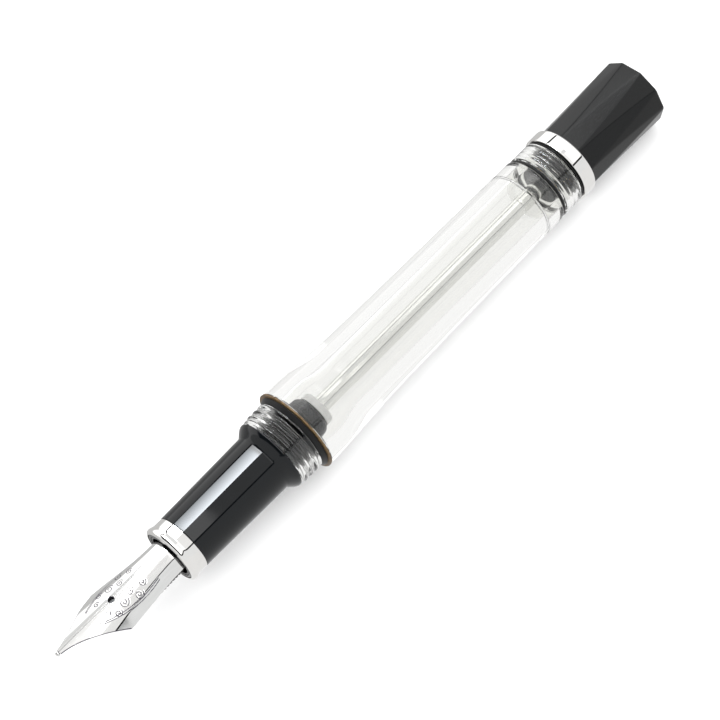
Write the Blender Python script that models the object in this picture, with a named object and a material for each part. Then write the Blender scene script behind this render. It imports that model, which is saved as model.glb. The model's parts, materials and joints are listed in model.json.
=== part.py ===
"""A clear-barrelled, vacuum-filling fountain pen without its cap, lying nib up.

The pen's axis runs along X, with the nib at -X and the filler knob at +X. +Z is the nib's top.
Every length here is in millimetres, and MM turns it into Blender's metres.
"""

import math

import bmesh
import bpy
from mathutils import Matrix, Vector

MM = 0.001
SIDES = 32  # facets round the large turned pieces
SMALL_SIDES = 20  # facets round the small turned pieces
CLEAR = 0.05  # gap between two pieces that touch or run in one another

# Stations along the pen, from the middle of its length.
NIB_TIP = -65.0
SHOULDER = -54.5
BREATHER = -53.65
RING_FRONT = -42.5
RING_REAR = -39.45
FLARE_START = -22.4
NECK_FRONT = -20.4
SEAT_FRONT = -16.15
BARREL_SHOULDER = -14.95
SPIGOT_REAR = -14.5
SEAL_REAR = -11.6
COLLAR_REAR = -10.2
GLAND_FRONT = 37.2
POSTING_RING = 40.65
BARREL_REAR = 44.85
KNOB_RING_FRONT = 45.2
KNOB_FRONT = 47.8
ANCHOR_REAR = 60.3
KNOB_REAR = 65.0

# Radii.
RIM_RADIUS = 7.4
SHOULDER_RADIUS = 7.36
BARREL_REAR_RADIUS = 6.08
NECK_CREST = 6.5
NECK_BORE = 4.95
FLARED_BORE = 4.6
BORE = 3.75
GLAND_BORE = 4.65
GRIP_FRONT_RADIUS = 4.9
GRIP_REAR_RADIUS = 5.14
FLARE_RADIUS = 6.3
SPIGOT_RADIUS = 4.8
SEAL_RADIUS = 3.5
ROD_RADIUS = 1.4
ROD_NECK_RADIUS = 1.1
KNOB_FRONT_RADIUS = 5.87
KNOB_REAR_RADIUS = 6.08
NIB_RADIUS = 3.1
FIN_RADIUS = 3.0
NIB_SHEET = 0.3
FEED_RADIUS = 2.7

# Threads.
CAP_PITCH = 1.15
POSTING_PITCH = 0.8
GRIP_PITCH = 1.0
KNOB_PITCH = 0.8

# The widest piece rests on a flat facet, so the axis is this high.
AXIS_HEIGHT = RIM_RADIUS * math.cos(math.pi / SIDES)


def clear_scene():
    for old in list(bpy.data.objects):
        bpy.data.objects.remove(old)


def finish(name, colour, roughness, metallic=0.0, clear=0.0):
    """A Principled material of its own for one piece."""
    made = bpy.data.materials.new(name)
    made.use_nodes = True
    shader = made.node_tree.nodes["Principled BSDF"]
    shader.inputs["Base Color"].default_value = (*colour, 1.0)
    shader.inputs["Roughness"].default_value = roughness
    shader.inputs["Metallic"].default_value = metallic
    shader.inputs["Transmission Weight"].default_value = clear
    made.diffuse_color = (*colour, 1.0)
    return made


def steel(name):
    return finish(name, (0.78, 0.78, 0.79), 0.18, metallic=1.0)


def chrome(name):
    return finish(name, (0.86, 0.85, 0.83), 0.08, metallic=1.0)


def brass(name):
    return finish(name, (0.80, 0.62, 0.32), 0.30, metallic=1.0)


def black_rubber(name):
    return finish(name, (0.02, 0.02, 0.022), 0.55)


def black_plastic(name):
    return finish(name, (0.015, 0.015, 0.018), 0.22)


def pale_plastic(name):
    return finish(name, (0.86, 0.86, 0.84), 0.3)


def clear_plastic(name):
    return finish(name, (0.95, 0.96, 0.97), 0.03, clear=1.0)


def pivot(name, x, parent=None):
    """An empty on the pen's axis that a moving group hangs from."""
    made = bpy.data.objects.new(name, None)
    bpy.context.collection.objects.link(made)
    made.parent = parent
    from_parent = parent["station"] if parent else 0.0
    made.location = ((x - from_parent) * MM, 0.0, 0.0 if parent else AXIS_HEIGHT * MM)
    made["station"] = x
    return made


def place(name, bm, parent, material):
    """Turns the mesh, drawn about the pen's axis, into an object whose origin is its pivot."""
    bmesh.ops.remove_doubles(bm, verts=bm.verts, dist=1e-7)
    bmesh.ops.recalc_face_normals(bm, faces=bm.faces)
    bmesh.ops.translate(bm, verts=bm.verts, vec=(-parent["station"] * MM, 0.0, 0.0))
    mesh = bpy.data.meshes.new(name)
    bm.to_mesh(mesh)
    bm.free()
    mesh.shade_smooth()
    mesh.set_sharp_from_angle(angle=math.radians(35))
    made = bpy.data.objects.new(name, mesh)
    bpy.context.collection.objects.link(made)
    made.parent = parent
    made.data.materials.append(material)
    return made


def spun(outline, sides):
    """A solid turned about the pen's axis. The outline is its half section, as (x, radius) points.

    It is a closed loop, unless it starts and ends on the axis."""
    bm = bmesh.new()
    points = [bm.verts.new((x * MM, 0.0, radius * MM)) for x, radius in outline]
    on_axis = outline[0][1] == 0.0 and outline[-1][1] == 0.0
    followers = points[1:] if on_axis else points[1:] + points[:1]
    lines = [bm.edges.new(pair) for pair in zip(points, followers)]
    half_facet = Matrix.Rotation(math.pi / sides, 3, "X")
    bmesh.ops.rotate(bm, verts=points, cent=(0.0, 0.0, 0.0), matrix=half_facet)
    bmesh.ops.spin(
        bm,
        geom=points + lines,
        cent=(0.0, 0.0, 0.0),
        axis=(1.0, 0.0, 0.0),
        angle=2 * math.pi,
        steps=sides,
        use_merge=True,
    )
    return bm


def turned(name, outline, parent, material, sides=SMALL_SIDES):
    return place(name, spun(outline, sides), parent, material)


def o_ring(name, x, inner, outer, parent, material, sides=SMALL_SIDES):
    """A rubber ring of round section between two radii, centred at x."""
    middle = (inner + outer) / 2
    thick = (outer - inner) / 2
    section = []
    for step in range(6):
        turn = math.radians(60 * step)
        lift = thick * math.sin(turn) / math.sin(math.radians(60))
        section.append((x + thick * math.cos(turn), middle + lift))
    return turned(name, section, parent, material, sides)


def steps_along(start, end, start_radius, end_radius, pitch, per_turn=4):
    """Evenly spaced outline points, close enough together to carry a thread."""
    count = math.ceil((end - start) / pitch * per_turn)
    points = []
    for step in range(count + 1):
        share = step / count
        radius = start_radius + (end_radius - start_radius) * share
        points.append((start + (end - start) * share, radius))
    return points


def cut_thread(bm, start, end, pitch, depth, above):
    """Sinks a right-hand groove into the vertices between two stations and over a radius."""
    for vert in bm.verts:
        x = vert.co.x / MM
        radius = math.hypot(vert.co.y, vert.co.z) / MM
        if not start < x < end or radius < above:
            continue
        turn = math.atan2(vert.co.z, vert.co.y) / (2 * math.pi)
        groove = 0.5 - 0.5 * math.cos(2 * math.pi * (x / pitch - turn))
        fade = min(1.0, (x - start) / pitch, (end - x) / pitch)
        share = 1 - depth * (1 - (1 - groove) * fade) / radius
        vert.co.y *= share
        vert.co.z *= share


def lofted(rings):
    """A solid through rings of equally many points, with a flat cap on the first and the last."""
    bm = bmesh.new()
    rows = [[bm.verts.new(Vector(point) * MM) for point in ring] for ring in rings]
    for row, after in zip(rows, rows[1:]):
        for i in range(len(row)):
            k = (i + 1) % len(row)
            bm.faces.new((row[i], row[k], after[k], after[i]))
    bm.faces.new(rows[0])
    bm.faces.new(rows[-1])
    return bm


def circle(x, radius, count, first=0.0):
    """Points round the axis at x, by angle from the nib's top."""
    ring = []
    for i in range(count):
        angle = first + 2 * math.pi * i / count
        ring.append((x, radius * math.sin(angle), radius * math.cos(angle)))
    return ring


def ease(share):
    """0 to 1 with no corner at either end."""
    held = min(1.0, max(0.0, share))
    return held * held * (3 - 2 * held)


# The barrel and what stays on it.


def make_barrel(parent):
    neck_end = SEAT_FRONT - 0.05
    neck = steps_along(NECK_FRONT + 0.15, neck_end, NECK_CREST, NECK_CREST, CAP_PITCH)
    thread_start = POSTING_RING + 0.5
    thread_end = BARREL_REAR - 0.2
    posting = steps_along(thread_start, thread_end, 6.0, 6.0, POSTING_PITCH)
    outside = [(NECK_FRONT, 5.9), (NECK_FRONT, 6.05), *neck]
    outside += [(neck_end, 6.0), (BARREL_SHOULDER, 6.0)]
    outside += [(BARREL_SHOULDER, SHOULDER_RADIUS - 0.1), (BARREL_SHOULDER + 0.1, SHOULDER_RADIUS)]
    outside += [(-12.5, 7.26), (-9.5, 7.1), (-6.9, 6.95), (-4.0, 6.79), (-1.0, 6.64), (5.0, 6.51)]
    outside += [(14.0, 6.38), (25.0, 6.25), (35.6, 6.14)]
    outside += [(POSTING_RING - 0.5, BARREL_REAR_RADIUS), (POSTING_RING - 0.4, 5.98)]
    outside += [(POSTING_RING - 0.4, 5.15), (POSTING_RING + 0.4, 5.15), (POSTING_RING + 0.4, 5.55)]
    outside += [*posting, (thread_end, 5.6), (BARREL_REAR, 5.5)]
    inside = [(BARREL_REAR, GLAND_BORE), (GLAND_FRONT, GLAND_BORE), (GLAND_FRONT, BORE)]
    inside += [(-5.0, BORE), (-9.5, FLARED_BORE), (SPIGOT_REAR + 0.2, FLARED_BORE)]
    inside += [(SPIGOT_REAR + 0.2, NECK_BORE), (NECK_FRONT, NECK_BORE)]
    bm = spun(outside + inside, SIDES)
    cut_thread(bm, NECK_FRONT + 0.1, SEAT_FRONT, CAP_PITCH, 0.5, above=6.2)
    cut_thread(bm, thread_start - 0.05, thread_end + 0.05, POSTING_PITCH, 0.4, above=5.9)
    place("barrel", bm, parent, clear_plastic("clear_barrel"))


def make_cap_seal(parent):
    """The rubber ring that the cap closes on, with the thin washer that backs it."""
    seat = 6.0 + CLEAR
    washer_rear = BARREL_SHOULDER - CLEAR
    washer_front = washer_rear - 0.25
    rubber_rear = washer_front - CLEAR
    cone = [(SEAT_FRONT, seat), (SEAT_FRONT, 6.35), (rubber_rear - 0.2, 6.85)]
    cone += [(rubber_rear - 0.06, 6.88), (rubber_rear, 6.8), (rubber_rear, seat)]
    turned("cap_o_ring", cone, parent, black_rubber("cap_ring_rubber"), SIDES)
    rim = RIM_RADIUS - 0.05
    flat = [(washer_front, seat), (washer_front, rim), (washer_front + 0.06, RIM_RADIUS)]
    flat += [(washer_rear - 0.06, RIM_RADIUS), (washer_rear, rim), (washer_rear, seat)]
    amber = finish("amber_washer", (0.62, 0.42, 0.20), 0.35)
    turned("cap_washer", flat, parent, amber, SIDES)
    rubber = black_rubber("posting_rubber")
    o_ring("posting_o_ring", POSTING_RING, 5.2, 5.88, parent, rubber, SIDES)


def make_gland(parent):
    """The insert that the rod slides through, with its seals."""
    front = GLAND_FRONT + CLEAR
    outer = GLAND_BORE - CLEAR
    pocket = 2.5
    rod_hole = 1.5
    pocket_front = GLAND_FRONT + 4.3
    pocket_rear = pocket_front + 1.1
    spigot_end = KNOB_FRONT + 2.0
    thread = steps_along(KNOB_RING_FRONT + 0.4, spigot_end - 1.0, 3.9, 3.9, KNOB_PITCH, per_turn=3)
    groove = [(front + 0.95, outer), (front + 0.95, 3.95), (front + 1.85, 3.95), (front + 1.85, outer)]
    body = [(front, 3.3), (front, outer), *groove, (BARREL_REAR, outer), (BARREL_REAR, 3.75)]
    body += [(KNOB_RING_FRONT + 0.3, 3.75), *thread, (spigot_end, 3.6)]
    body += [(spigot_end, pocket), (spigot_end - 1.9, pocket), (spigot_end - 1.9, rod_hole)]
    body += [(pocket_rear, rod_hole), (pocket_rear, pocket), (pocket_front, pocket)]
    body += [(pocket_front, 3.3)]
    bm = spun(body, SMALL_SIDES)
    thread_start = KNOB_RING_FRONT + 0.35
    cut_thread(bm, thread_start, spigot_end - 0.95, KNOB_PITCH, 0.3, above=3.85)
    place("gland_body", bm, parent, clear_plastic("clear_gland"))
    silicone = finish("clear_silicone", (0.85, 0.87, 0.88), 0.2, clear=0.8)
    o_ring("gland_seal", front + 1.4, 3.99, 4.59, parent, silicone)
    front_ring = pocket_rear - 0.55
    o_ring("gland_o_ring_front", front_ring, 1.45, 2.45, parent, pale_plastic("front_ring_seal"))
    rear_ring = spigot_end - 1.35
    o_ring("gland_o_ring_rear", rear_ring, 1.45, 2.45, parent, pale_plastic("rear_ring_seal"))
    washer_rear = pocket_front - CLEAR
    washer = [(washer_rear - 0.75, rod_hole), (washer_rear - 0.75, 3.25)]
    washer += [(washer_rear, 3.25), (washer_rear, rod_hole)]
    turned("gland_washer", washer, parent, black_rubber("gland_washer_rubber"))
    nut_rear = spigot_end - 0.1
    nut = [(nut_rear - 0.7, rod_hole), (nut_rear - 0.7, 2.45), (nut_rear, 2.45), (nut_rear, rod_hole)]
    turned("gland_nut", nut, parent, pale_plastic("gland_nut_pale"))
    gasket_front = BARREL_REAR + CLEAR
    gasket_rear = KNOB_RING_FRONT - CLEAR
    gasket = [(gasket_front, 3.85), (gasket_front, 5.83), (gasket_front + 0.07, 5.9)]
    gasket += [(gasket_rear - 0.07, 5.9), (gasket_rear, 5.83), (gasket_rear, 3.85)]
    turned("knob_o_ring", gasket, parent, black_rubber("knob_ring_rubber"), SIDES)


# The grip, with nib and feed, unscrews from the barrel.


def make_grip(parent, ring_parent):
    nose = 4.45
    nib_bore = 3.95
    grip_front = RING_REAR + CLEAR
    flange = NECK_FRONT - CLEAR
    outside = [(RING_FRONT + CLEAR, nose), (grip_front, nose), (grip_front, GRIP_FRONT_RADIUS)]
    outside += [(-34.0, 4.97), (-28.0, 5.05), (FLARE_START - 1.2, GRIP_REAR_RADIUS)]
    flare_length = flange - 0.1 - FLARE_START
    for step in range(7):
        share = step / 6
        swell = (FLARE_RADIUS - GRIP_REAR_RADIUS) * math.sin(math.pi / 2 * share ** 1.25)
        outside.append((FLARE_START + flare_length * share, GRIP_REAR_RADIUS + swell))
    outside.append((flange, FLARE_RADIUS - 0.06))
    groove_rear = SPIGOT_REAR - 0.6
    groove_front = groove_rear - 1.0
    thread = steps_along(
        flange + 0.4, groove_front - 0.3, SPIGOT_RADIUS, SPIGOT_RADIUS, GRIP_PITCH, per_turn=3
    )
    spigot = [(flange, 4.45), *thread, (groove_front, SPIGOT_RADIUS), (groove_front, 4.0)]
    spigot += [(groove_rear, 4.0), (groove_rear, SPIGOT_RADIUS)]
    spigot += [(SPIGOT_REAR, SPIGOT_RADIUS - 0.1)]
    inside = [(SPIGOT_REAR, 3.2), (SPIGOT_REAR - 1.3, 2.3), (SPIGOT_REAR - 1.3, 1.9), (-26.0, 1.9)]
    inside += [(-26.0, nib_bore), (RING_FRONT + CLEAR, nib_bore)]
    bm = spun(outside + spigot + inside, SIDES)
    cut_thread(bm, flange + 0.35, groove_front - 0.25, GRIP_PITCH, 0.3, above=4.75)
    place("grip_section", bm, parent, black_plastic("dark_grip"))

    ring_bore = nose + CLEAR
    lip = [(RING_FRONT, ring_bore), (RING_FRONT, 4.6), (RING_FRONT + 0.12, 4.85)]
    lip += [(RING_FRONT + 0.3, 5.02), (RING_FRONT + 0.6, 5.1), (RING_FRONT + 0.9, 5.05)]
    lip += [(RING_FRONT + 1.2, 4.95), (RING_FRONT + 1.5, 4.88), (RING_REAR, 4.86)]
    lip += [(RING_REAR, ring_bore)]
    turned("front_ring", lip, parent, chrome("front_ring_chrome"), SIDES)

    sleeve_outer = nib_bore - CLEAR
    sleeve_inner = 3.6
    sleeve = [(RING_FRONT + 0.1, sleeve_inner), (RING_FRONT + 0.1, sleeve_outer)]
    sleeve += [(-26.05, sleeve_outer), (-26.05, 1.8), (-18.9, 1.8), (-18.9, 0.8)]
    sleeve += [(-26.6, 0.8), (-26.6, sleeve_inner)]
    turned("nib_housing", sleeve, parent, black_plastic("housing_plastic"))

    middle = (groove_front + groove_rear) / 2
    rubber = black_rubber("section_rubber")
    o_ring("section_o_ring", middle, 4.06, 4.88, ring_parent, rubber, SIDES)


def nib_bend(x):
    """Radius that the nib's sheet is bent to: tight in the grip, ever flatter towards the tip."""
    return NIB_RADIUS + 0.04 * max(0.0, RING_FRONT - 0.5 - x) ** 1.5


def nib_share(x):
    """0 where the nib leaves the grip, 1 from its shoulders on."""
    start = RING_FRONT - 1.5
    return min(1.0, max(0.0, (x - start) / (SHOULDER - start)))


def blank_half_width(x):
    """Half the width of the flat blank that the nib is bent from."""
    shoulder_width = 5.4
    if x > SHOULDER:
        return 4.65 + (shoulder_width - 4.65) * nib_share(x) ** 1.3
    tip_width = 0.48
    tine = (x - SHOULDER) / (NIB_TIP + 0.6 - SHOULDER)
    return tip_width + (shoulder_width - tip_width) * (1 - tine) ** 1.5


def nib_blank():
    """The flat blank's outline, as (station, distance from the middle line), round slit and hole."""
    slit = 0.06
    hole = 0.57
    stations = [-30.0, -36.0, RING_FRONT, -44.5, -47.0, -49.5, -52.0, -53.5, SHOULDER]
    stations += [-55.3, -56.5, -57.7, -59.0, -60.5, -62.0, -63.5, NIB_TIP + 0.6]
    side = [(x, blank_half_width(x)) for x in stations]
    round_hole = []
    for step in range(11):
        angle = math.radians(174 - 348 * step / 10)
        round_hole.append((BREATHER + hole * math.cos(angle), hole * math.sin(angle)))
    slit_left = (NIB_TIP + 0.6, slit)
    slit_right = (NIB_TIP + 0.6, -slit)
    other_side = [(x, -width) for x, width in reversed(side)]
    return side + [slit_left] + round_hole + [slit_right] + other_side


def bend_blank(bm):
    """Bends the flat blank over the pen's axis: an arc over its top, and straight flanks below."""
    for vert in bm.verts:
        x = vert.co.x / MM
        across = abs(vert.co.y / MM)
        side = math.copysign(1.0, vert.co.y)
        radius = nib_bend(x)
        flank_lean = math.radians(60 - 15 * ease(nib_share(x)))
        lean = min(across / radius, flank_lean)
        flank = across - lean * radius
        vert.co.y = side * (radius * math.sin(lean) + flank * math.cos(lean)) * MM
        vert.co.z = (NIB_RADIUS - radius * (1 - math.cos(lean)) - flank * math.sin(lean)) * MM


def slice_mesh(bm, position, direction):
    bmesh.ops.bisect_plane(
        bm,
        geom=list(bm.verts) + list(bm.edges) + list(bm.faces),
        plane_co=Vector(position) * MM,
        plane_no=direction,
    )


def make_nib(parent):
    bm = bmesh.new()
    outline = [bm.verts.new((x * MM, y * MM, 0.0)) for x, y in nib_blank()]
    bm.faces.new(outline)
    for step in range(1, 15):
        slice_mesh(bm, (-31.13 - 2.35 * step, 0.0, 0.0), (1.0, 0.0, 0.0))
    for across in (-3.7, -2.75, -1.83, -0.93, 0.93, 1.83, 2.75, 3.7):
        slice_mesh(bm, (0.0, across, 0.0), (0.0, 1.0, 0.0))
    bmesh.ops.triangulate(bm, faces=bm.faces)
    bend_blank(bm)
    nib = place("nib", bm, parent, steel("nib_steel"))
    if nib.data.polygons[0].normal.z < 0:
        nib.data.flip_normals()
    sheet = nib.modifiers.new("sheet", "SOLIDIFY")
    sheet.thickness = NIB_SHEET * MM
    sheet.offset = -1.0


def make_tipping(parent):
    """The hard pellet on the tip, as two halves on either side of the slit."""
    size = 0.5
    for name, side in (("tipping_left", 1.0), ("tipping_right", -1.0)):
        bm = bmesh.new()
        bmesh.ops.create_uvsphere(bm, u_segments=14, v_segments=10, radius=size * MM)
        bmesh.ops.scale(bm, verts=bm.verts, vec=(0.62, 0.95, 0.8))
        cut = bmesh.ops.bisect_plane(
            bm,
            geom=list(bm.verts) + list(bm.edges) + list(bm.faces),
            plane_co=(0.0, side * 0.06 * MM, 0.0),
            plane_no=(0.0, side, 0.0),
            clear_inner=True,
        )
        rim = [edge for edge in cut["geom_cut"] if isinstance(edge, bmesh.types.BMEdge)]
        bmesh.ops.edgeloop_fill(bm, edges=rim)
        centre = ((NIB_TIP + 0.31) * MM, 0.0, (NIB_RADIUS - 0.22) * MM)
        bmesh.ops.translate(bm, verts=bm.verts, vec=centre)
        place(name, bm, parent, steel(name + "_metal"))


def feed_ring(x, radius, sunk):
    """One ring round the feed. Its top stays under the nib, and its lower side sinks by this much."""
    count = 20
    ring = []
    for i in range(count):
        angle = 2 * math.pi * (i + 0.5) / count
        reach = radius - sunk * ease((0.25 - math.cos(angle)) / 0.3)
        height = FEED_RADIUS - radius + reach * math.cos(angle)
        ring.append((x, reach * math.sin(angle), height))
    return ring


def feed_radius(x):
    """Half the feed's width: full under the fins, then tapering to its tip under the tines."""
    front = -58.6
    start = -48.5
    if x > start:
        return FEED_RADIUS
    share = (x - start) / (front - start)
    return 0.55 + (FEED_RADIUS - 0.55) * (1 - share ** 1.2)


def make_feed(parent):
    fin = 0.31
    first_fin = -43.1
    slot_depth = 0.6
    proud = FIN_RADIUS - FEED_RADIUS
    edge = 0.02
    rings = [feed_ring(-26.7, 2.3, 0.0), feed_ring(-27.1, FEED_RADIUS, 0.0)]
    for index in range(9):
        start = first_fin - 2 * fin * index
        rings.append(feed_ring(start, FEED_RADIUS, -proud))
        rings.append(feed_ring(start - edge, FEED_RADIUS, slot_depth))
        rings.append(feed_ring(start - fin + edge, FEED_RADIUS, slot_depth))
        rings.append(feed_ring(start - fin, FEED_RADIUS, -proud))
    rings += [feed_ring(x, feed_radius(x), 0.0) for x in (-49.2, -51.0, -53.5, -56.0, -58.0)]
    rings += [feed_ring(-58.6, 0.4, 0.0)]
    place("feed", lofted(rings), parent, black_plastic("feed_plastic"))


# The plunger slides in the barrel. Its rod turns with the knob.


def make_plunger_seal(parent):
    hole = 1.2
    cone_front = SPIGOT_REAR - 1.0
    cone_rear = SPIGOT_REAR + 0.15
    rubber = [(cone_front, hole), (cone_front, 2.05), (cone_rear, 2.95), (cone_rear + 0.2, 3.35)]
    rubber += [(cone_rear + 0.5, SEAL_RADIUS), (SEAL_REAR - 1.35, SEAL_RADIUS)]
    rubber += [(SEAL_REAR - 0.65, 3.35), (SEAL_REAR - 0.2, 3.0), (SEAL_REAR, 2.6), (SEAL_REAR, hole)]
    turned("plunger_seal", rubber, parent, black_rubber("seal_rubber"))
    front = SEAL_REAR + CLEAR
    collar = [(front, hole), (front, 2.85), (COLLAR_REAR - 0.4, 2.85), (COLLAR_REAR, 2.5)]
    collar += [(COLLAR_REAR, hole)]
    turned("seal_collar", collar, parent, pale_plastic("pale_collar"))


def make_rod(parent):
    shoulder = COLLAR_REAR + CLEAR
    neck_front = SPIGOT_REAR - 1.1
    tip = neck_front - 1.2
    rod = [(tip, 0.0), (tip, 0.5), (tip + 0.15, 0.68), (neck_front, 0.68)]
    rod += [(neck_front, ROD_NECK_RADIUS), (shoulder, ROD_NECK_RADIUS), (shoulder, 1.25)]
    rod += [(shoulder + 0.15, ROD_RADIUS), (ANCHOR_REAR - 0.5, ROD_RADIUS)]
    rod += [(ANCHOR_REAR - 0.3, 1.2), (ANCHOR_REAR - 0.3, 0.0)]
    turned("plunger_rod", rod, parent, steel("rod_steel"))
    nut_front = tip + 0.2
    nut_rear = neck_front - CLEAR
    nut = [(nut_front, 0.75), (nut_front, 1.3), (nut_front + 0.15, 1.5), (nut_rear, 1.5)]
    nut += [(nut_rear, 0.75)]
    turned("seal_nut", nut, parent, steel("seal_nut_steel"), sides=12)


def make_knob_ring(parent):
    front = KNOB_RING_FRONT
    rear = KNOB_FRONT - CLEAR
    band = [(front, 4.2), (front, 6.15), (front + 0.15, 6.3), (rear - 0.35, 6.3), (rear, 5.95)]
    band += [(rear, 4.2)]
    turned("knob_ring", band, parent, chrome("knob_ring_chrome"), SIDES)


def knob_ring_of_points(share):
    """One section of the knob: ten edges at its front that each part into two towards its end."""
    x = KNOB_FRONT + (KNOB_REAR - KNOB_FRONT) * share
    spread = math.radians(1.5 + 15.2 * ease(share))
    dip = 1 - 0.011 * math.sin(math.pi * share)
    radius = (KNOB_FRONT_RADIUS + (KNOB_REAR_RADIUS - KNOB_FRONT_RADIUS) * share) * dip
    ring = []
    for edge in range(10):
        for side in (-1, 1):
            angle = math.radians(36 * edge) + side * spread
            ring.append((x, radius * math.sin(angle), radius * math.cos(angle)))
    return ring


def make_knob(parent):
    first = math.radians(-9)
    anchor_bore = 2.9
    bore_step = KNOB_FRONT + 4.7
    rings = [circle(ANCHOR_REAR + 0.1, anchor_bore, 20, first)]
    rings += [circle(bore_step, anchor_bore, 20, first), circle(bore_step, 5.0, 20, first)]
    rings += [circle(KNOB_FRONT, 5.0, 20, first)]
    shares = [0.0, 0.14, 0.28, 0.42, 0.56, 0.7, 0.84, 0.975]
    rings += [knob_ring_of_points(share) for share in shares]
    end = knob_ring_of_points(1.0)
    chamfer = 0.3 / KNOB_REAR_RADIUS
    rings.append([(x, y * (1 - chamfer), z * (1 - chamfer)) for x, y, z in end])
    place("knob", lofted(rings), parent, black_plastic("knob_plastic"))

    bush_front = KNOB_FRONT + 0.1
    bush_rear = bore_step - 0.1
    bush = [(bush_front, 4.1), (bush_front, 4.85), (bush_rear, 4.85), (bush_rear, 2.9)]
    bush += [(bush_rear - 1.9, 2.9), (bush_rear - 1.9, 4.1)]
    turned("knob_bush", bush, parent, brass("bush_brass"))
    anchor = [(bore_step + 0.1, 1.47), (bore_step + 0.1, 2.8), (ANCHOR_REAR, 2.8), (ANCHOR_REAR, 1.47)]
    turned("rod_anchor", anchor, parent, brass("anchor_brass"))


def make_pen():
    clear_scene()
    barrel_pivot = pivot("barrel_pivot", 0.0)
    make_barrel(barrel_pivot)
    make_cap_seal(barrel_pivot)
    make_gland(barrel_pivot)

    carrier_pivot = pivot("section_slide_pivot", NECK_FRONT, barrel_pivot)
    grip_pivot = pivot("section_turn_pivot", NECK_FRONT, carrier_pivot)
    make_grip(grip_pivot, carrier_pivot)
    make_nib(grip_pivot)
    make_tipping(grip_pivot)
    make_feed(grip_pivot)

    plunger_pivot = pivot("plunger_pivot", SEAL_REAR, barrel_pivot)
    knob_pivot = pivot("knob_pivot", KNOB_FRONT, plunger_pivot)
    make_plunger_seal(plunger_pivot)
    make_rod(knob_pivot)
    make_knob_ring(knob_pivot)
    make_knob(knob_pivot)


make_pen()
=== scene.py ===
import json
import math

import bmesh
import bpy
from mathutils import Matrix, Vector
from mathutils.kdtree import KDTree


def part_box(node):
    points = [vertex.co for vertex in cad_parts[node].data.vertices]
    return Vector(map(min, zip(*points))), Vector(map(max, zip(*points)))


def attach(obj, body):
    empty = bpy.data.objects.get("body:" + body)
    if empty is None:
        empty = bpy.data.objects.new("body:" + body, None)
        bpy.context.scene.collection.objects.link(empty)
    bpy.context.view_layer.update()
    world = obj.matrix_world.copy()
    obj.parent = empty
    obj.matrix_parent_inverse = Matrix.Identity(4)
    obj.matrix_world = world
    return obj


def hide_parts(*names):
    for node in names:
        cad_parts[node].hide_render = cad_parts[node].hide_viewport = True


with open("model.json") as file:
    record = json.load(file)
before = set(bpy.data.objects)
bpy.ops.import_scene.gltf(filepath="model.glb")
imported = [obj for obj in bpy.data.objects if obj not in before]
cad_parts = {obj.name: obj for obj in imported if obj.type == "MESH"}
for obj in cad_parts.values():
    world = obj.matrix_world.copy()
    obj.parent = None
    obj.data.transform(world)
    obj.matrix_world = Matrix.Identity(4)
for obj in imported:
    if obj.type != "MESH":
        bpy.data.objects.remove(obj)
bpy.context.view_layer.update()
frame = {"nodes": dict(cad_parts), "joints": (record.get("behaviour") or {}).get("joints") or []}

# Lengths are in millimetres until a mesh is made, and MM turns them into metres.
MM = 0.001
SIDES = 32  # facets round the large turned CAD nodes, whose flats face +Y and +Z
SMALL_SIDES = 20
ROUND = 160  # facets round each turned piece here
GAP = 0.05  # between two pieces that touch

# The pen's axis runs along X, at the height of the knob turn's hinge.
HINGES = {joint["name"]: joint for joint in frame["joints"]}
AXIS_Z = HINGES["knob_turn"]["pos_m"][2]


def front(node):
    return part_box(node)[0][0] / MM


def rear(node):
    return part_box(node)[1][0] / MM


def middle(node):
    return (front(node) + rear(node)) / 2


def reach(node, sides=SIDES):
    """The radius that a turned CAD node's corners lie on."""
    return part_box(node)[1][1] / MM / math.cos(math.pi / sides)


# The camera.


def make_camera():
    """A long lens, from above the nib's end, with the pen along the picture's diagonal."""
    back = Vector((-0.2957, -0.4963, 0.8163)).normalized()
    right = Vector((0.6755, -0.7128, -0.1886)).normalized()
    up = back.cross(right).normalized()
    right = up.cross(back).normalized()
    target = Vector((0.0, 0.00055, AXIS_Z + 0.00033))
    distance = 0.3835
    data = bpy.data.cameras.new("camera")
    data.lens = 125.0
    data.sensor_width = 36.0
    data.clip_start = 0.01
    data.clip_end = 20.0
    camera = bpy.data.objects.new("camera", data)
    bpy.context.collection.objects.link(camera)
    turn = Matrix((right, up, back)).transposed().to_4x4()
    camera.matrix_world = Matrix.Translation(target + back * distance) @ turn
    bpy.context.scene.camera = camera


make_camera()


# Materials. Each one varies over the surface in colour, roughness and relief.


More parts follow.
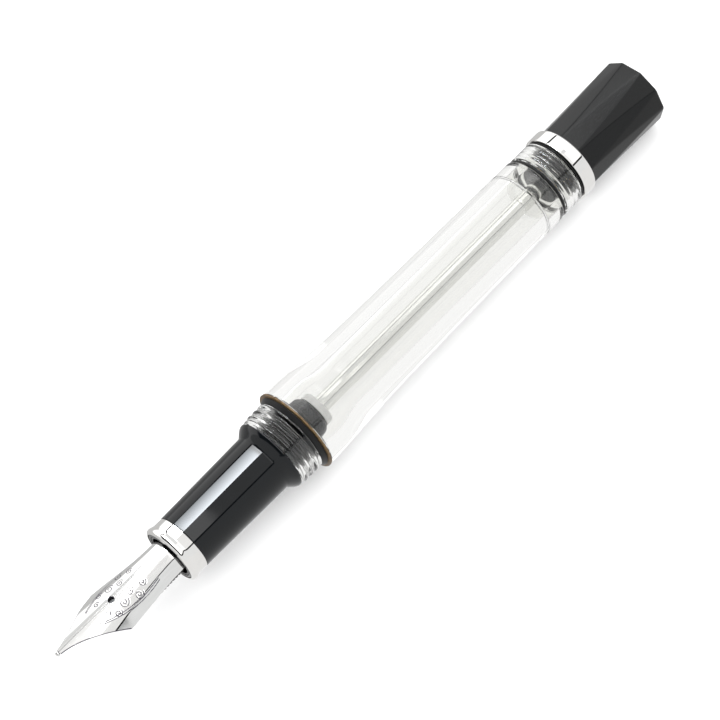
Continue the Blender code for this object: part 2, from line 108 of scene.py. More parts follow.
def finish(name, colour, roughness, metallic=0.0, grain=1.0, stretch=1.0, tint=0.1, relief=0.02,
           specular=0.5):
    """A Principled material whose noise has grains of this size in mm, drawn out along the pen.

    roughness is a (lowest, highest) pair, tint is how much darker the dark grains are, and
    relief is the height of the grains in mm."""
    made = bpy.data.materials.new(name)
    made.use_nodes = True
    nodes = made.node_tree.nodes
    link = made.node_tree.links.new
    shader = nodes["Principled BSDF"]
    shader.inputs["Metallic"].default_value = metallic
    shader.inputs["Specular IOR Level"].default_value = specular
    place = nodes.new("ShaderNodeTexCoord")
    scale = nodes.new("ShaderNodeMapping")
    scale.inputs["Scale"].default_value = (1 / stretch, 1.0, 1.0)
    noise = nodes.new("ShaderNodeTexNoise")
    noise.inputs["Scale"].default_value = 1 / (grain * MM)
    noise.inputs["Detail"].default_value = 4.0
    link(place.outputs["Object"], scale.inputs["Vector"])
    link(scale.outputs["Vector"], noise.inputs["Vector"])
    ramp = nodes.new("ShaderNodeValToRGB")
    ramp.color_ramp.elements[0].position = 0.35
    ramp.color_ramp.elements[0].color = (*(part * (1 - tint) for part in colour), 1.0)
    ramp.color_ramp.elements[1].position = 0.65
    ramp.color_ramp.elements[1].color = (*colour, 1.0)
    link(noise.outputs["Fac"], ramp.inputs["Fac"])
    link(ramp.outputs["Color"], shader.inputs["Base Color"])
    gloss = nodes.new("ShaderNodeMapRange")
    gloss.inputs["From Min"].default_value = 0.3
    gloss.inputs["From Max"].default_value = 0.7
    gloss.inputs["To Min"].default_value = roughness[0]
    gloss.inputs["To Max"].default_value = roughness[1]
    link(noise.outputs["Fac"], gloss.inputs["Value"])
    link(gloss.outputs["Result"], shader.inputs["Roughness"])
    bump = nodes.new("ShaderNodeBump")
    bump.inputs["Strength"].default_value = 1.0
    bump.inputs["Distance"].default_value = relief * MM
    link(noise.outputs["Fac"], bump.inputs["Height"])
    link(bump.outputs["Normal"], shader.inputs["Normal"])
    made.diffuse_color = (*colour, 1.0)
    return made


def make_clear(name, bending):
    """Polished acrylic with a faint waviness from its turning."""
    made = finish(name, (0.92, 0.92, 0.905), (0.0, 0.01), grain=6.0, tint=0.01, relief=0.001)
    shader = made.node_tree.nodes["Principled BSDF"]
    shader.inputs["Transmission Weight"].default_value = 1.0
    shader.inputs["IOR"].default_value = bending
    return made


CLEAR = make_clear("clear_acrylic", 1.49)
GLAND = make_clear("clear_insert", 1.03)
GRIP = finish("grip_black", (0.003, 0.004, 0.005), (0.02, 0.05), grain=2.5, relief=0.0005,
              specular=0.36)
RUBBER = finish("satin_rubber", (0.006, 0.006, 0.0062), (0.3, 0.45), grain=0.25, tint=0.3, relief=0.003,
                specular=0.25)
SEAL = finish("seal_rubber", (0.011, 0.0125, 0.014), (0.25, 0.35), grain=0.4, tint=0.25, relief=0.002,
              specular=0.35)
KNOB = finish("knob_black", (0.003, 0.0034, 0.0036), (0.14, 0.2), grain=0.5, tint=0.2, relief=0.0002,
              specular=0.32)
BLACK = finish("black_plastic", (0.005, 0.005, 0.0055), (0.15, 0.25), grain=0.5, tint=0.2, relief=0.001)
AMBER = finish("amber_speckle", (0.20, 0.125, 0.055), (0.3, 0.5), grain=0.2, tint=0.85, relief=0.003,
               specular=0.25)
PALE = finish("pale_plastic", (0.93, 0.93, 0.91), (0.2, 0.3), grain=1.0, tint=0.06, relief=0.001)
CHROME = finish("chrome_plate", (0.88, 0.87, 0.85), (0.01, 0.03), 1.0, grain=1.5, tint=0.03, relief=0.0002)
NIB_STEEL = finish("nib_steel", (0.84, 0.835, 0.82), (0.03, 0.07), 1.0, grain=0.5, stretch=12, tint=0.04,
                   relief=0.0001)
# Dark material for the engraved scrolls. It also paints shade on the nib's outer tine edges and on the
# sheet's cut rim.
ENGRAVED_AND_EDGE_SHADE = finish("engraved_and_edge_shade", (0.05, 0.045, 0.06), (0.4, 0.5), grain=0.3, relief=0.0005,
                  specular=0.3)
ROD_STEEL = finish("rod_steel", (0.84, 0.84, 0.82), (0.1, 0.16), 1.0, grain=0.2, stretch=0.5, tint=0.08,
                   relief=0.0001)
BRASS = finish("turned_brass", (0.78, 0.58, 0.29), (0.2, 0.32), 1.0, grain=0.15, stretch=0.5, tint=0.1,
               relief=0.0005)


# Outlines and meshes.


def rounded(corners, closed=True):
    """The outline's points, with an arc at each corner that has a third number, its size."""
    points = []
    count = len(corners)
    for i, corner in enumerate(corners):
        here = Vector(corner[:2])
        inner = closed or 0 < i < count - 1
        if len(corner) < 3 or not inner:
            points.append(tuple(here))
            continue
        to_last = Vector(corners[i - 1][:2]) - here
        to_next = Vector(corners[(i + 1) % count][:2]) - here
        start = here + to_last.normalized() * min(corner[2], 0.49 * to_last.length)
        end = here + to_next.normalized() * min(corner[2], 0.49 * to_next.length)
        for step in range(7):
            share = step / 6
            first = start.lerp(here, share)
            points.append(tuple(first.lerp(here.lerp(end, share), share)))
    return points


def flowing(stations, per_span=8):
    """A smooth curve through (x, radius) stations, without its last point."""
    padded = [stations[0], *stations, stations[-1]]
    points = []
    for a, b, c, d in zip(padded, padded[1:], padded[2:], padded[3:]):
        for step in range(per_span):
            t = step / per_span
            point = []
            for i in range(2):
                bend = 2 * a[i] - 5 * b[i] + 4 * c[i] - d[i]
                twist = 3 * b[i] - a[i] - 3 * c[i] + d[i]
                point.append(0.5 * (2 * b[i] + t * (c[i] - a[i]) + t * t * bend + t * t * t * twist))
            points.append(tuple(point))
    return points


def spaced(start, end, radius, step):
    """Evenly spaced points along the axis, close enough together to carry a thread."""
    count = math.ceil((end - start) / step)
    return [(start + (end - start) * i / count, radius) for i in range(count + 1)]


def o_section(x, radius, thick):
    """A round section, centred at x and this radius."""
    angles = [2 * math.pi * i / 24 for i in range(24)]
    return [(x + thick * math.cos(angle), radius + thick * math.sin(angle)) for angle in angles]


def thread(start, end, pitch, depth, above):
    """A right-hand thread: how far its groove lies below the crests, by place."""

    def sink(x, radius, angle):
        if not start < x < end or radius < above:
            return 0.0
        turn = angle / (2 * math.pi)
        groove = 0.5 + 0.5 * math.cos(2 * math.pi * (x / pitch - turn))
        fade = min(1.0, (x - start) / pitch, (end - x) / pitch)
        return depth * groove * fade

    return sink


def object_from(name, points, faces, material, body, nodes, sharp=38):
    """A piece from points in mm about the pen's axis. It rides on a body and replaces CAD nodes."""
    mesh = bpy.data.meshes.new(name)
    mesh.from_pydata([(x * MM, y * MM, z * MM + AXIS_Z) for x, y, z in points], [], faces)
    bm = bmesh.new()
    bm.from_mesh(mesh)
    bmesh.ops.remove_doubles(bm, verts=bm.verts, dist=1e-8)
    bmesh.ops.recalc_face_normals(bm, faces=bm.faces)
    bm.to_mesh(mesh)
    bm.free()
    mesh.shade_smooth()
    mesh.set_sharp_from_angle(angle=math.radians(sharp))
    made = bpy.data.objects.new(name, mesh)
    bpy.context.collection.objects.link(made)
    made.data.materials.append(material)
    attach(made, body)
    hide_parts(*nodes)
    return made


def lathe(name, outline, material, body, nodes, sink=None, closed=True):
    """A piece turned about the pen's axis. An open outline starts and ends on the axis."""
    count = len(outline)
    points = []
    faces = []
    for i in range(ROUND):
        angle = 2 * math.pi * i / ROUND
        for x, radius in outline:
            lowered = radius - (sink(x, radius, angle) if sink else 0.0)
            points.append((x, lowered * math.cos(angle), lowered * math.sin(angle)))
        after = (i + 1) % ROUND
        for k in range(count if closed else count - 1):
            n = (k + 1) % count
            faces.append((i * count + k, i * count + n, after * count + n, after * count + k))
    return object_from(name, points, faces, material, body, nodes)


def loft(name, rings, material, body, nodes, sharp=38):
    """A piece through rings of equally many points, flat at both ends."""
    count = len(rings[0])
    points = [point for ring in rings for point in ring]
    faces = [tuple(range(count)), tuple(range(len(points) - count, len(points)))]
    for i in range(len(rings) - 1):
        for k in range(count):
            n = (k + 1) % count
            faces.append((i * count + k, i * count + n, (i + 1) * count + n, (i + 1) * count + k))
    return object_from(name, points, faces, material, body, nodes, sharp)


def no_shadow(piece):
    """Clear plastic lets the light through to the floor."""
    piece.visible_shadow = False


# The barrel.

NECK_FRONT = front("barrel")
NECK_CREST = 6.5
SEAT_FRONT = front("cap_o_ring")
SHOULDER = rear("cap_washer") + GAP
POSTING = middle("posting_o_ring")
BARREL_REAR = rear("barrel")
GLAND_FRONT = front("gland_body") - GAP
GLAND_REAR = rear("gland_body")
RING_FRONT = front("knob_ring")
KNOB_FRONT = front("knob")
SPIGOT_REAR = rear("grip_section")
BORE = 3.75
CAP_PITCH = 1.15
CAP_THREAD_DEPTH = 0.26
POSTING_CREST = 6.0
POSTING_PITCH = 0.8
POSTING_THREAD_DEPTH = 0.05


def make_barrel():
    neck_end = SEAT_FRONT - 0.1
    thread_step = 0.06
    first_thread = POSTING + 0.5
    last_thread = BARREL_REAR - 0.2
    outline = rounded([(NECK_FRONT, 4.95, 0.08), (NECK_FRONT, 6.05, 0.1)], closed=False)
    outline += spaced(NECK_FRONT + 0.15, neck_end, NECK_CREST, thread_step)
    outline += [(neck_end, 6.0), (SHOULDER, 6.0), (SHOULDER, 7.3), (SHOULDER + 0.06, 7.36)]
    outline += flowing([
        (SHOULDER + 0.3, 7.35), (-12.5, 7.26), (-9.5, 7.1), (-6.9, 6.95), (-4.0, 6.79),
        (-1.0, 6.64), (5.0, 6.51), (14.0, 6.38), (25.0, 6.25), (35.6, 6.14), (POSTING - 0.55, 6.08),
    ])
    groove = 0.4
    outline += rounded([
        (POSTING - 0.55, 6.08), (POSTING - groove, 6.0, 0.1), (POSTING - groove, 5.12, 0.1),
        (POSTING + groove, 5.12, 0.1), (POSTING + groove, 5.6, 0.05), (first_thread, 5.7),
    ], closed=False)
    outline += spaced(first_thread, last_thread, POSTING_CREST, thread_step)
    outline += rounded([
        (last_thread, 5.6), (BARREL_REAR, 5.5, 0.1), (BARREL_REAR, 4.65, 0.1),
        (GLAND_FRONT, 4.65, 0.1), (GLAND_FRONT, BORE, 0.1), (-5.0, BORE, 1.5), (-9.5, 4.6, 1.5),
        (SPIGOT_REAR + 0.2, 4.6, 0.05), (SPIGOT_REAR + 0.2, 4.95, 0.05), (NECK_FRONT, 4.95),
    ], closed=False)[:-1]
    # Only the points near a crest's radius belong to its thread.
    neck_root = NECK_CREST - 0.3
    posting_root = POSTING_CREST - 0.1
    neck = thread(NECK_FRONT + 0.1, SEAT_FRONT, CAP_PITCH, CAP_THREAD_DEPTH, neck_root)
    posting = thread(
        first_thread - 0.05, last_thread + 0.05, POSTING_PITCH, POSTING_THREAD_DEPTH, posting_root)
    run_out = 0.9
    run_out_depth = 0.36

    def sink(x, radius, angle):
        # The neck's first crest rises out of the end of the flare.
        on_neck = radius > neck_root and x < neck_end
        rise = max(0.0, 1 - (x - NECK_FRONT) / run_out) if on_neck else 0.0
        return neck(x, radius, angle) + posting(x, radius, angle) + run_out_depth * rise

    barrel = lathe("barrel_clear", outline, CLEAR, "barrel", ["barrel"], sink)
    no_shadow(barrel)


make_barrel()


def make_cap_seal():
    seat = 6.05
    face = rear("cap_o_ring")
    edge = reach("cap_o_ring")
    cone = rounded([
        (SEAT_FRONT, seat), (SEAT_FRONT, 6.35, 0.08), (face - 0.15, edge, 0.12), (face, edge, 0.05),
        (face, seat),
    ])
    lathe("cap_seal", cone, RUBBER, "barrel", ["cap_o_ring"])
    edge = reach("cap_washer")
    low, high = front("cap_washer"), rear("cap_washer")
    washer = rounded([(low, seat), (low, edge, 0.05), (high, edge, 0.05), (high, seat)])
    lathe("cap_washer_amber", washer, AMBER, "barrel", ["cap_washer"])
    ring = o_section(POSTING, 5.52, 0.34)
    lathe("posting_seal", ring, RUBBER, "barrel", ["posting_o_ring"])


make_cap_seal()


def make_gland():
    low = GLAND_FRONT + GAP
    outer = 4.6
    pocket_front = GLAND_FRONT + 4.3
    pocket_rear = pocket_front + 1.1
    outline = rounded([
        (low, 3.3, 0.08), (low, outer, 0.1), (BARREL_REAR, outer, 0.06), (BARREL_REAR, 3.75, 0.06),
        (RING_FRONT + 0.3, 3.75),
    ], closed=False)
    outline += spaced(RING_FRONT + 0.4, GLAND_REAR - 1.0, 3.9, 0.08)
    outline += rounded([
        (GLAND_REAR - 1.0, 3.75), (GLAND_REAR, 3.6, 0.1), (GLAND_REAR, 2.5, 0.08),
        (GLAND_REAR - 1.9, 2.5, 0.06), (GLAND_REAR - 1.9, 1.5, 0.06), (pocket_rear, 1.5, 0.06),
        (pocket_rear, 2.5, 0.06), (pocket_front, 2.5, 0.06), (pocket_front, 3.3, 0.06), (low, 3.3),
    ], closed=False)[:-1]
    sink = thread(RING_FRONT + 0.35, GLAND_REAR - 0.95, POSTING_PITCH, 0.3, 3.85)
    # The clear silicone seal round the gland shows no edge, so the gland takes it in.
    nodes = ["gland_body", "gland_seal"]
    no_shadow(lathe("gland_clear", outline, GLAND, "barrel", nodes, sink))
    for node in ("gland_o_ring_front", "gland_o_ring_rear"):
        ring = o_section(middle(node), 1.97, 0.47)
        lathe(node + "_round", ring, PALE, "barrel", [node])
    for node, material, slot in (
        ("gland_washer", SEAL, "black_rubber"),
        ("gland_nut", PALE, "pale_plastic"),
    ):
        edge = reach(node, SMALL_SIDES)
        flat = [(front(node), 1.52), (front(node), edge, 0.08), (rear(node), edge, 0.08)]
        flat = rounded([*flat, (rear(node), 1.52)])
        lathe(node + "_turned", flat, material, "barrel", [node])
    low, high = front("knob_o_ring"), rear("knob_o_ring")
    gasket = rounded([(low, 3.87), (low, 5.9, 0.1), (high, 5.9, 0.1), (high, 3.87)])
    lathe("knob_gasket", gasket, RUBBER, "barrel", ["knob_o_ring"])


make_gland()


# The grip, with nib and feed.

GRIP_NOSE = front("grip_section")
LIP_FRONT = front("front_ring")
LIP_REAR = rear("front_ring")


def make_grip():
    grip_front = LIP_REAR + GAP
    flange = NECK_FRONT - GAP
    groove = middle("section_o_ring")
    flare_start = -22.4
    flare_top = 6.3
    nib_bore = 3.95
    outline = rounded([
        (GRIP_NOSE, nib_bore, 0.08), (GRIP_NOSE, 4.44, 0.12), (grip_front, 4.44), (grip_front, 4.8),
    ], closed=False)
    outline += flowing([
        (grip_front + 0.08, 4.89), (-36.5, 4.93), (-32.0, 5.0), (-27.5, 5.07), (-24.5, 5.12),
        (flare_start, 5.14),
    ])
    flare_length = flange - 0.1 - flare_start
    for step in range(25):
        share = step / 24
        swell = (flare_top - 5.14) * math.sin(math.pi / 2 * share ** 1.25)
        outline.append((flare_start + flare_length * share, 5.14 + swell))
    outline += rounded([
        (flange - 0.1, flare_top), (flange, flare_top - 0.06, 0.05), (flange, 4.6), (flange + 0.4, 4.6),
    ], closed=False)[1:]
    outline += rounded([
        (flange + 0.45, 4.75), (groove - 0.5, 4.8, 0.05), (groove - 0.5, 4.0, 0.05),
        (groove + 0.5, 4.0, 0.05), (groove + 0.5, 4.8, 0.05), (SPIGOT_REAR, 4.7, 0.1),
        (SPIGOT_REAR, 3.2, 0.1), (SPIGOT_REAR - 1.3, 2.3), (SPIGOT_REAR - 1.3, 1.9), (-26.0, 1.9),
        (-26.0, nib_bore), (GRIP_NOSE, nib_bore),
    ], closed=False)[:-1]
    lathe("grip_polished", outline, GRIP, "section", ["grip_section"])
    ring = o_section(groove, 4.46, 0.4)
    lathe("section_seal", ring, RUBBER, "section_slide", ["section_o_ring"])

    bore = 4.5
    lip = rounded([(LIP_FRONT, bore, 0.04), (LIP_FRONT, 4.6, 0.04)], closed=False)
    lip += flowing([
        (LIP_FRONT + 0.04, 4.72), (LIP_FRONT + 0.16, 4.91), (LIP_FRONT + 0.36, 5.05),
        (LIP_FRONT + 0.62, 5.095), (LIP_FRONT + 0.92, 5.05), (LIP_FRONT + 1.25, 4.94),
        (LIP_FRONT + 1.6, 4.87), (LIP_FRONT + 2.2, 4.855), (LIP_REAR - 0.05, 4.85),
    ])
    lip += [(LIP_REAR - 0.05, 4.85), (LIP_REAR, 4.8), (LIP_REAR, bore)]
    lathe("front_ring_plated", lip, CHROME, "section", ["front_ring"])


make_grip()

# The nib is a flat blank bent over the axis, as the CAD one is.
NIB_SHOULDER = -54.5
BREATHER = -53.65
HOLE = 0.57
SLIT = 0.035
NIB_RADIUS = 3.1
NIB_SHEET = 0.3


def nib_share(x):
    """0 where the nib leaves the grip, 1 from its shoulders to its tip."""
    start = LIP_FRONT - 1.5
    return min(1.0, max(0.0, (x - start) / (NIB_SHOULDER - start)))


def half_width(x):
    """Half the width of the flat blank."""
    if x > NIB_SHOULDER:
        return 4.65 + 0.75 * nib_share(x) ** 1.3
    tine = min(1.0, (x - NIB_SHOULDER) / (front("nib") - NIB_SHOULDER))
    return 0.46 + 4.94 * (1 - tine) ** 1.5


def inner_edge(x):
    """Half the width of the slit or the hole, and 0 where the nib is whole."""
    along = BREATHER - x
    if along < -HOLE:
        return 0.0
    round_part = math.sqrt(max(0.0, HOLE * HOLE - along * along))
    return max(round_part, SLIT if along > 0 else 0.0)


def scrolls():
    """Leafy scrolls on each side of the hole, as points on the flat blank."""
    strokes = []
    for x, across, size, turns in (
        (-52.6, 1.75, 0.8, 1.6), (-50.9, 1.05, 0.62, 1.5), (-50.2, 2.5, 0.75, 1.6),
        (-54.3, 2.3, 0.62, 1.4), (-55.6, 1.2, 0.5, 1.3), (-48.6, 1.5, 0.6, 1.5),
    ):
        for step in range(90):
            share = step / 89
            angle = 2 * math.pi * turns * share
            radius = size * (1 - 0.85 * share)
            strokes.append((x + radius * math.cos(angle), across + radius * math.sin(angle)))
    for bow in (3.1, 3.5):
        for step in range(120):
            share = step / 119
            strokes.append((-57.5 + 11.0 * share, bow * math.sin(math.pi * (0.16 + 0.5 * share))))
    tree = KDTree(len(strokes))
    for i, (x, across) in enumerate(strokes):
        tree.insert((x, across, 0.0), i)
    tree.balance()
    return tree


def bent(x, across, depth):
    """The place on the bent nib of a point on the flat blank, sunk by depth.

    The sheet is an arc over the axis with a straight flank on each side."""
    radius = NIB_RADIUS + 0.04 * max(0.0, LIP_FRONT - 0.5 - x) ** 1.5
    share = nib_share(x)
    flank_lean = math.radians(60 - 15 * share * share * (3 - 2 * share))
    side = math.copysign(1.0, across)
    lean = min(abs(across) / radius, flank_lean)
    flank = abs(across) - lean * radius
    y = (radius - depth) * math.sin(lean) + flank * math.cos(lean)
    z = NIB_RADIUS - radius + (radius - depth) * math.cos(lean) - flank * math.sin(lean)
    return (x, side * y, z)


def make_nib():
    row_step = 0.06
    hidden_length = 3.0
    tip_row = front("nib") + 0.02
    rows = []
    x = LIP_FRONT + hidden_length
    while x > BREATHER + HOLE:
        rows.append(x)
        x -= row_step
    rows += [BREATHER + HOLE * math.cos(math.pi * i / 24) for i in range(24)]
    x = BREATHER - HOLE
    while x > tip_row:
        rows.append(x)
        x -= row_step
    rows.append(tip_row)
    columns = 72
    # How many columns at each tine's outer edge are painted dark as shade.
    edge_shade_columns = 3
    line_width = 0.14
    line_depth = 0.012
    line_softness = 0.06
    engraved = scrolls()
    away = []
    points = []
    faces = []
    for side in (1, -1):
        base = len(points)
        for x in rows:
            inner = inner_edge(x)
            outer = half_width(x)
            for column in range(columns + 1):
                across = inner + (outer - inner) * column / columns
                away.append(engraved.find((x, across, 0.0))[2])
                groove = line_depth * math.exp(-((away[-1] / line_softness) ** 2))
                points.append(bent(x, side * across, groove))
        for i in range(len(rows) - 1):
            for k in range(columns):
                a = base + i * (columns + 1) + k
                b = a + columns + 1
                faces.append((a, a + 1, b + 1, b) if side > 0 else (a, b, b + 1, a + 1))
    nib = object_from("nib_polished", points, faces, NIB_STEEL, "section", ["nib"])
    nib.data.materials.append(ENGRAVED_AND_EDGE_SHADE)
    for i, (polygon, corners) in enumerate(zip(nib.data.polygons, faces)):
        # Painted shade: the outermost columns of each tine take the dark engraved material, so the tine
        # edges lie dark against the polished top.
        edge_shade = i % columns >= columns - edge_shade_columns and points[corners[0]][0] < NIB_SHOULDER
        engraved_here = sum(away[k] for k in corners) / 4 < line_width / 2
        polygon.material_index = int(edge_shade or engraved_here)
    if nib.data.polygons[0].normal.z < 0:
        nib.data.flip_normals()
    sheet = nib.modifiers.new("sheet", "SOLIDIFY")
    sheet.thickness = NIB_SHEET * MM
    sheet.offset = -1.0
    # Painted shade: the sheet's cut rim takes the dark engraved material too.
    sheet.material_offset_rim = 1


make_nib()


def make_tipping():
    """The hard pellet under the tip, as two halves on either side of the slit."""
    for node, side in (("tipping_left", 1), ("tipping_right", -1)):
        low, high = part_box(node)
        centre_x = (low[0] + high[0]) / 2 / MM
        centre_z = ((low[2] + high[2]) / 2 - AXIS_Z) / MM
        long, wide, tall = 0.31, 0.475, 0.4
        rings = []
        for i in range(1, 24):
            lean = math.pi * i / 24
            ring = []
            for k in range(40):
                turn = 2 * math.pi * k / 40
                y = wide * math.sin(lean) * math.cos(turn)
                z = centre_z + tall * math.sin(lean) * math.sin(turn)
                ring.append((centre_x - long * math.cos(lean), side * max(SLIT, y * side), z))
            rings.append(ring)
        loft(node + "_ground", rings, NIB_STEEL, "section", [node])


make_tipping()


def make_feed():
    """A finned feed: its top lies under the nib, and its fins part its lower side."""
    full = 2.7
    first_fin = LIP_FRONT - 0.6
    pitch = 0.62
    taper_start = -48.5
    tip = front("feed")

    def ring(x, radius, sunk):
        points = []
        for i in range(72):
            angle = 2 * math.pi * i / 72
            held = min(1.0, max(0.0, (0.25 - math.cos(angle)) / 0.3))
            out = radius - sunk * held * held * (3 - 2 * held)
            points.append((x, out * math.sin(angle), full - radius + out * math.cos(angle)))
        return points

    rings = [ring(rear("feed"), 2.3, 0.0), ring(rear("feed") - 0.4, full, 0.0)]
    for fin in range(9):
        start = first_fin - pitch * fin
        for along, sunk in (
            (0.0, -0.26), (0.04, -0.3), (0.27, -0.3), (0.31, -0.26), (0.315, 0.6), (0.61, 0.6),
        ):
            rings.append(ring(start - along, full, sunk))
    for step in range(25):
        share = step / 24
        x = taper_start - 0.25 + (tip + 0.1 - taper_start) * share
        rings.append(ring(x, 0.5 + (full - 0.5) * (1 - share ** 1.2), 0.0))
    rings.append(ring(tip, 0.3, 0.0))
    loft("feed_finned", rings, BLACK, "section", ["feed"], sharp=30)


make_feed()


# The plunger and the filler knob.


def make_plunger():
    hole = 1.25
    low, high = front("plunger_seal"), rear("plunger_seal")
    wide = reach("plunger_seal", SMALL_SIDES)
    outline = [(low, hole), *rounded([(low, hole), (low, 2.0, 0.08), (low + 1.1, 2.95)], closed=False)]
    outline = outline[1:-1]
    outline += flowing([
        (low + 1.1, 2.92), (low + 1.25, 3.25), (low + 1.6, wide), (high - 1.4, wide),
        (high - 0.7, 3.36), (high - 0.25, 3.02), (high, 2.55),
    ])
    outline += [(high, 2.55), (high, hole)]
    lathe("plunger_seal_moulded", outline, SEAL, "plunger", ["plunger_seal"])
    low, high = front("seal_collar"), rear("seal_collar")
    collar = rounded([(low, hole), (low, 2.85, 0.06), (high, 2.85, 0.5), (high, hole)])
    lathe("seal_collar_turned", collar, PALE, "plunger", ["seal_collar"])


make_plunger()


def make_rod():
    low, high = front("plunger_rod"), rear("plunger_rod")
    shoulder = rear("seal_collar") + GAP
    neck = front("plunger_seal") - 0.1
    outline = rounded([
        (low, 0.0), (low, 0.5, 0.1), (low + 0.15, 0.68, 0.05), (neck, 0.68), (neck, 1.1),
        (shoulder, 1.1), (shoulder, 1.4, 0.12), (high - 0.2, 1.4, 0.1), (high, 1.2), (high, 0.0),
    ], closed=False)
    lathe("rod_ground", outline, ROD_STEEL, "filler_knob", ["plunger_rod"], closed=False)


make_rod()


def make_knob_ring():
    low, high = front("knob_ring"), rear("knob_ring")
    wide = reach("knob_ring")
    band = rounded([(low, 4.2, 0.05), (low, wide, 0.16), (high, wide, 0.38), (high, 4.2, 0.05)])
    lathe("knob_ring_plated", band, CHROME, "filler_knob", ["knob_ring"])


make_knob_ring()


def knob_section(share, shrink=1.0):
    """Ten corners at the knob's front that each part into two towards its end, a little rounded."""
    x = KNOB_FRONT + (rear("knob") - KNOB_FRONT) * share
    spread = math.radians(1.5 + 15.2 * share ** 1.5)
    dip = 1 - 0.011 * math.sin(math.pi * share)
    radius = (5.87 + 0.21 * share) * dip * shrink
    corners = []
    for edge in range(10):
        for side in (-1, 1):
            angle = math.radians(36 * edge) + side * spread
            corners.append((radius * math.sin(angle), radius * math.cos(angle), 0.22))
    return [(x, y, z) for y, z in rounded(corners)]


def make_knob():
    outer = [knob_section(step / 30) for step in range(30)]
    outer += [knob_section(0.985), knob_section(0.994, 0.985), knob_section(1.0, 0.955)]
    count = len(outer[0])
    bore_end = rear("rod_anchor") + 0.1
    bore_step = KNOB_FRONT + 4.7

    def circle(x, radius):
        flat = [(y, z) for _, y, z in outer[0]]
        return [(x, radius * y / math.hypot(y, z), radius * z / math.hypot(y, z)) for y, z in flat]

    rings = [circle(bore_end, 2.9), circle(bore_step, 2.9), circle(bore_step, 5.0)]
    rings += [circle(KNOB_FRONT, 5.0), *outer]
    assert all(len(ring) == count for ring in rings)
    loft("knob_faceted", rings, KNOB, "filler_knob", ["knob"], sharp=25)


make_knob()

# The pieces that stay hidden inside keep their CAD shape.
for node, material in (
    ("nib_housing", BLACK), ("seal_nut", ROD_STEEL), ("knob_bush", BRASS), ("rod_anchor", BRASS),
):
    frame["nodes"][node].material_slots[0].material = material


# The stage: a pale floor and a soft light tent of glowing and dark panels.


def glow(name, far, middle=None, near=None, colour=(1.0, 1.0, 1.0)):
    """A panel's light: one strength all over, or strengths that blend from its far to its near edge."""
    made = bpy.data.materials.new(name)
    made.use_nodes = True
    nodes = made.node_tree.nodes
    link = made.node_tree.links.new
    shader = nodes["Principled BSDF"]
    shader.inputs["Base Color"].default_value = (0.0, 0.0, 0.0, 1.0)
    shader.inputs["Specular IOR Level"].default_value = 0.0
    shader.inputs["Emission Color"].default_value = (*colour, 1.0)
    shader.inputs["Emission Strength"].default_value = far
    if middle is None:
        return made
    place = nodes.new("ShaderNodeUVMap")
    split = nodes.new("ShaderNodeSeparateXYZ")
    link(place.outputs["UV"], split.inputs["Vector"])
    blend = nodes.new("ShaderNodeFloatCurve")
    curve = blend.mapping.curves[0]
    top = max(far, middle, near)
    curve.points[0].location = (0.0, far / top)
    curve.points[1].location = (1.0, near / top)
    curve.points.new(0.5, middle / top)
    blend.mapping.update()
    link(split.outputs["Y"], blend.inputs["Value"])
    scale = nodes.new("ShaderNodeMath")
    scale.operation = "MULTIPLY"
    scale.inputs[1].default_value = top
    link(blend.outputs["Value"], scale.inputs[0])
    link(scale.outputs["Value"], shader.inputs["Emission Strength"])
    return made


def staged(name, corners, faces, material):
    mesh = bpy.data.meshes.new(name)
    mesh.from_pydata(corners, [], faces)
    made = bpy.data.objects.new(name, mesh)
    bpy.context.collection.objects.link(made)
    mesh.materials.append(material)
    return made


def panel(name, low_angle, high_angle, start, end, material, distance=1.0):
    """A panel curved about the pen, between two angles from straight up, towards -Y.

    It shows only in reflections, so matt surfaces are lit by the even sky alone."""
    pieces = 12
    corners = []
    for i in range(pieces + 1):
        angle = math.radians(low_angle + (high_angle - low_angle) * i / pieces)
        for x in (start, end):
            corners.append((x, -distance * math.sin(angle), AXIS_Z + distance * math.cos(angle)))
    faces = [(2 * i, 2 * i + 1, 2 * i + 3, 2 * i + 2) for i in range(pieces)]
    made = staged(name, corners, faces, material)
    layer = made.data.uv_layers.new(name="panel")
    for loop, place in zip(made.data.loops, layer.data):
        place.uv = (loop.vertex_index % 2, loop.vertex_index // 2 / pieces)
    made.visible_diffuse = False
    return made


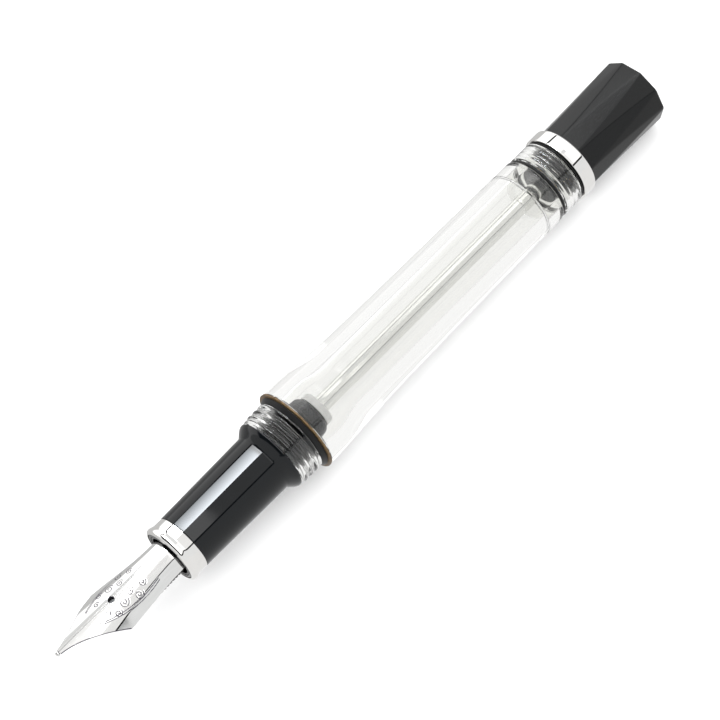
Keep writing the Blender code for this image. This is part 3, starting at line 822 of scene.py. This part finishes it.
def make_floor():
    """The floor leans a little, so that it touches the sealing ring and the knob. The other sheets in
    its place are what polished faces reflect, and what shows through clear plastic."""
    ring_low = Vector((middle("cap_o_ring") * MM, 0.0, 0.0))
    knob_low = Vector((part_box("knob")[1][0], 0.0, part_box("knob")[0][2]))
    slope = (knob_low.z - ring_low.z) / (knob_low.x - ring_low.x)

    def plane(name, near, far, material):
        corners = []
        for x, y in ((-3.0, near), (3.0, near), (3.0, far), (-3.0, far)):
            corners.append((x, y, (x - ring_low.x) * slope))
        return staged(name, corners, [(0, 1, 2, 3)], material)

    white = finish("floor_white", (0.62, 0.62, 0.62), (0.8, 0.9), grain=40.0, tint=0.01, relief=0.0,
                   specular=0.0)
    shader = white.node_tree.nodes["Principled BSDF"]
    shader.inputs["Emission Color"].default_value = (1.0, 1.0, 1.0, 1.0)
    shader.inputs["Emission Strength"].default_value = 0.28
    seen = plane("floor", -3.0, 3.0, white)
    seen.visible_glossy = False
    seen.visible_transmission = False
    for name, near, far, strength in (
        ("floor_near", -3.0, 0.0, 0.88), ("floor_far", 0.0, 3.0, 0.62), ("floor_through", -3.0, 3.0, 1.02),
    ):
        other = plane(name, near, far, glow(name + "_glow", strength))
        other.visible_camera = False
        other.visible_diffuse = False
        other.visible_shadow = False
        other.visible_glossy = name != "floor_through"
        other.visible_transmission = name == "floor_through"


def make_stage():
    world = bpy.data.worlds.new("studio")
    bpy.context.scene.world = world
    world.use_nodes = True
    background = world.node_tree.nodes["Background"]
    background.inputs["Color"].default_value = (0.98, 0.99, 1.0, 1.0)
    background.inputs["Strength"].default_value = 0.88
    make_floor()
    black = glow("black_cloth", 0.0)
    cool = (0.9, 0.95, 1.0)
    # What each stretch of the pen mirrors to the camera lies further along its softbox.
    nib_end, ring_start, far_end = 0.136, 0.47, 1.2
    panel("softbox_nib", -42, 4, -0.12, nib_end, glow("softbox_nib_light", 0.75, 1.15, 1.25))
    strong = (
        panel("softbox_grip", -42, 4, nib_end, 0.21, glow("softbox_grip_light", 10.0, 22.0, 36.0, cool)),
        panel("softbox_neck", -42, 4, 0.21, 0.262, glow("softbox_neck_light", 8.0, 12.0, 12.0)),
    )
    for piece in strong:
        piece.visible_transmission = False
    panel("softbox_barrel", -42, 4, 0.262, ring_start, glow("softbox_barrel_light", 1.2, 1.6, 1.7))
    panel("softbox_knob", -42, 14, ring_start, 0.62, glow("softbox_knob_light", 1.2, 3.0, 3.0))
    panel("softbox_far_frame", -47.5, -42, 0.17, 0.62, black)
    panel("far_wall", -85, -47.5, -0.8, 0.9, glow("far_wall_light", 1.5))
    panel("near_front", 5, 54, -0.12, 0.15, glow("near_front_light", 2.6))
    panel("near_middle", 5, 54, 0.15, 0.4, glow("near_middle_light", 0.95))
    panel("near_rear", 14.5, 54, 0.4, far_end, glow("near_rear_light", 1.2))
    panel("near_strip", 54.5, 59.5, -1.5, 1.5, black)
    panel("camera_opening", -42, 54, -1.0, -0.12, glow("opening_dark", 0.04))
    sky = panel("sky", -55, 55, -2.0, 2.0, glow("sky_light", 2.6), distance=1.3)
    sky.visible_camera = False
    sky.visible_glossy = False
    sky.visible_transmission = False
    sky.visible_diffuse = True


make_stage()
bpy.context.scene.view_settings.view_transform = "Standard"
